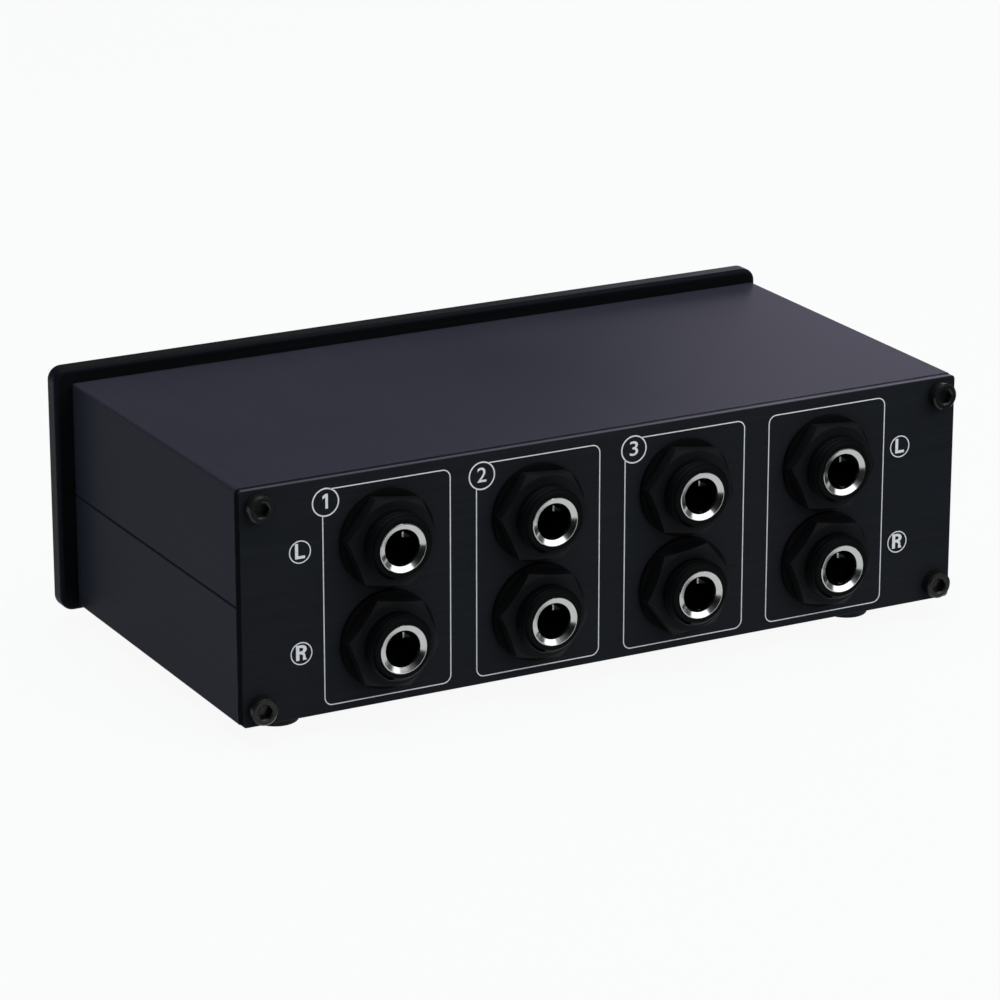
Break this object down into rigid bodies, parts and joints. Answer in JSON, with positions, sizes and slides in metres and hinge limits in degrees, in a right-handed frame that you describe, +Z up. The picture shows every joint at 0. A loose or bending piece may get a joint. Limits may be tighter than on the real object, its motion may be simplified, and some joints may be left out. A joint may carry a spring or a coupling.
{
  "type": "speaker selector switch",
  "caption": "Low black desktop selector box with a rotary knob in front and paired jack sockets behind, which routes a stereo amplifier to one of several speaker pairs.",
  "frame": {"origin": "on the surface that the feet stand on, under the middle of the whole object's bounding box", "axes": "+Z up; the knob faces -Y and the jack sockets face +Y; +X runs along the width, towards socket pair 1"},
  "size_m": [0.15, 0.1006, 0.0497],
  "materials": {
    "anodised_case": "satin black anodised aluminium with a faint violet cast",
    "brushed_black_panel": "black anodised over a fine horizontal brushing",
    "black_front_panel": "black anodised, rounded edges",
    "black_steel_screws": "black oxide steel, slightly glossy",
    "foot_rubber": "matt black rubber",
    "socket_plastic": "black moulded nylon",
    "nut_plastic": "black moulded nylon, satin",
    "ferrule_chrome": "bright nickel plating",
    "contact_metal": "tinned spring bronze",
    "board_laminate": "green solder mask over glass laminate",
    "tinned_wire": "tinned copper wire",
    "cast_switch_metal": "die cast zinc, dull",
    "bright_steel": "nickel plated steel",
    "switch_moulding": "dark phenolic moulding",
    "knob_aluminium": "black anodised turned aluminium"
  },
  "bodies": {
    "case": {"top_shell": "anodised_case", "bottom_shell": "anodised_case", "front_panel": "black_front_panel", "rear_panel": "brushed_black_panel", "front_screws": "black_steel_screws", "rear_screws": "black_steel_screws", "foot_front_left": "foot_rubber", "foot_front_right": "foot_rubber", "foot_rear_left": "foot_rubber", "foot_rear_right": "foot_rubber", "jack_washers": "nut_plastic", "sleeve_contacts": "contact_metal", "tip_contacts": "contact_metal", "jack_board": "board_laminate", "switch_board": "board_laminate", "board_links": "tinned_wire", "switch_frame": "cast_switch_metal", "switch_base": "switch_moulding", "switch_terminals": "contact_metal", "stop_ring": "bright_steel", "panel_washer": "bright_steel", "panel_nut": "bright_steel", "jack_housing_1_left": "socket_plastic", "jack_ferrule_1_left": "ferrule_chrome", "jack_nut_1_left": "nut_plastic", "jack_housing_1_right": "socket_plastic", "jack_ferrule_1_right": "ferrule_chrome", "jack_nut_1_right": "nut_plastic", "jack_housing_2_left": "socket_plastic", "jack_ferrule_2_left": "ferrule_chrome", "jack_nut_2_left": "nut_plastic", "jack_housing_2_right": "socket_plastic", "jack_ferrule_2_right": "ferrule_chrome", "jack_nut_2_right": "nut_plastic", "jack_housing_3_left": "socket_plastic", "jack_ferrule_3_left": "ferrule_chrome", "jack_nut_3_left": "nut_plastic", "jack_housing_3_right": "socket_plastic", "jack_ferrule_3_right": "ferrule_chrome", "jack_nut_3_right": "nut_plastic", "jack_housing_common_left": "socket_plastic", "jack_ferrule_common_left": "ferrule_chrome", "jack_nut_common_left": "nut_plastic", "jack_housing_common_right": "socket_plastic", "jack_ferrule_common_right": "ferrule_chrome", "jack_nut_common_right": "nut_plastic"},
    "selector": {"knob": "knob_aluminium", "knob_grub_screw": "black_steel_screws", "selector_shaft": "bright_steel", "selector_rotor": "switch_moulding", "rotor_wipers": "contact_metal", "detent_balls": "bright_steel", "detent_springs": "bright_steel"}
  },
  "joints": [
    {"name": "selector_turn", "type": "hinge", "parent": "case", "child": "selector", "pos_m": [0, -0.0325, 0.0262], "axis": [0, 1, 0], "range_deg": [-30, 30]}
  ]
}
